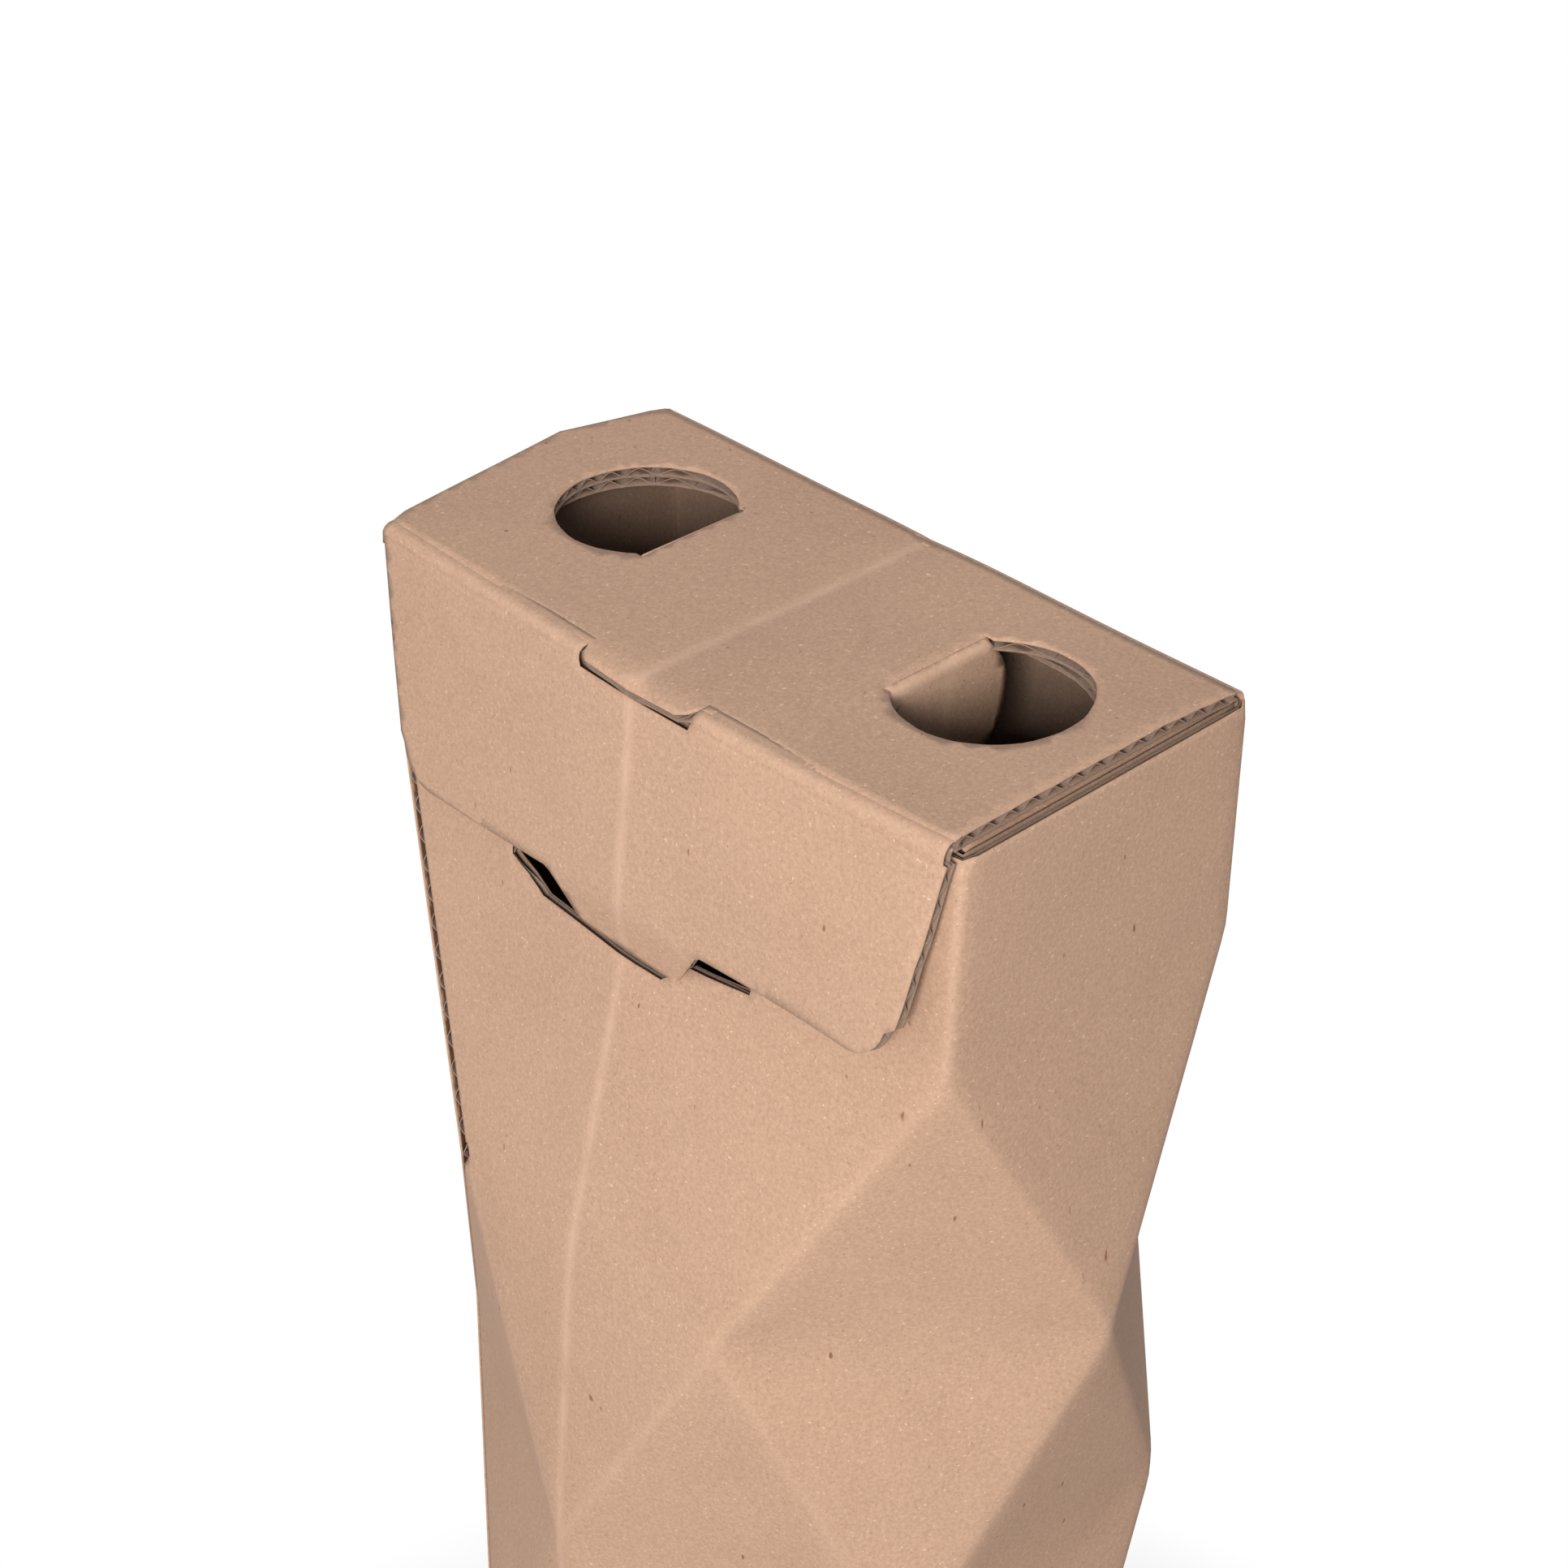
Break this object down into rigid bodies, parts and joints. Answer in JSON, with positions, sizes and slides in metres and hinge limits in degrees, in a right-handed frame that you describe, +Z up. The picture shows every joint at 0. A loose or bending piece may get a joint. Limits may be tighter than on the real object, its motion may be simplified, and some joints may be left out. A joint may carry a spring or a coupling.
{
  "type": "bottle gift box",
  "caption": "Upright gift box for a bottle, folded from brown corrugated board, with creased diamond facets, a hinged lid with finger holes and a tuck flap.",
  "frame": {"origin": "bottom centre, on the surface that the box stands on", "axes": "+Z up along the height, the tuck flap on the front faces -Y, +X to the right seen from the front"},
  "size_m": [0.1122, 0.098, 0.35],
  "materials": {
    "kraft_board": "matte"
  },
  "bodies": {
    "carton": {"carton": "kraft_board"},
    "lid": {"lid": "kraft_board"},
    "tuck_flap": {"tuck_flap": "kraft_board"}
  },
  "joints": [
    {"name": "lid_hinge", "type": "hinge", "parent": "carton", "child": "lid", "pos_m": [0, 0.024, 0.3485], "axis": [-1, 0, 0], "range_deg": [0, 150]},
    {"name": "tuck_flap_hinge", "type": "hinge", "parent": "lid", "child": "tuck_flap", "pos_m": [0, -0.024, 0.35], "axis": [-1, 0, 0], "range_deg": [0, 110]}
  ]
}
